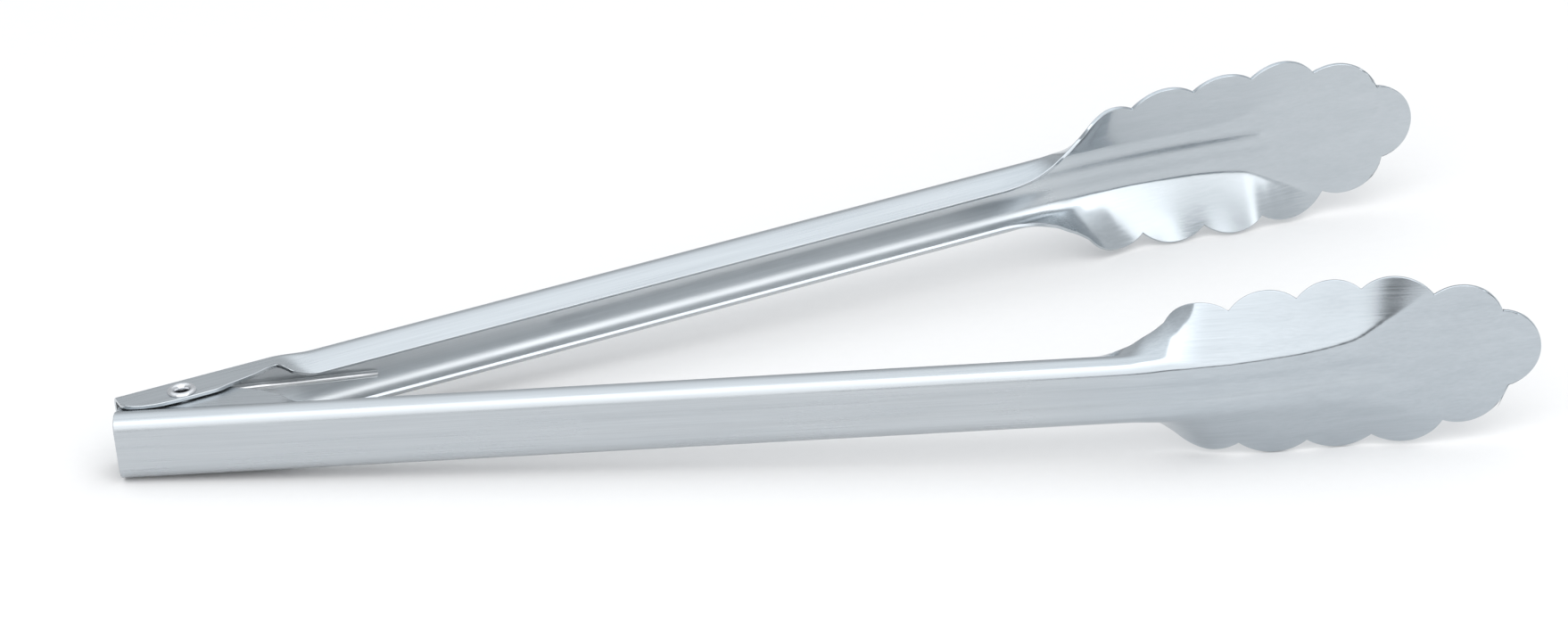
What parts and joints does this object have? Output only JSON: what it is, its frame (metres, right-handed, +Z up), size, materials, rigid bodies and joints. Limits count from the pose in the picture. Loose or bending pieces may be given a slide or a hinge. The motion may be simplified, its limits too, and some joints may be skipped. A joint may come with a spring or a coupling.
{
  "type": "spring loaded kitchen tongs",
  "caption": "Spring loaded kitchen tongs: channel-section steel arms with scalloped, dished heads, hinged on a tubular rivet and pushed open by a torsion spring.",
  "frame": {"origin": "on the rivet's axis, midway between the ears", "axes": "+Z along the rivet, +X from the hinge towards the heads, midway between the open arms; the arms open in the XY plane, and the tongs lie on their side with Z up"},
  "size_m": [0.3009, 0.1229, 0.0394],
  "materials": {
    "arm_steel": "satin brushed, bright",
    "rivet_steel": "polished",
    "spring_wire": "bright drawn"
  },
  "bodies": {
    "inner_arm": {"inner_arm": "arm_steel", "torsion_spring": "spring_wire"},
    "outer_arm": {"outer_arm": "arm_steel", "pivot_rivet": "rivet_steel"}
  },
  "joints": [
    {"name": "arm_hinge", "type": "hinge", "parent": "inner_arm", "child": "outer_arm", "pos_m": [0, 0, 0], "axis": [0, 0, 1], "range_deg": [-23.5, 0], "stiffness_Nm_per_rad": 1.5, "springref_deg": 14.32, "deforming": ["torsion_spring"]}
  ]
}
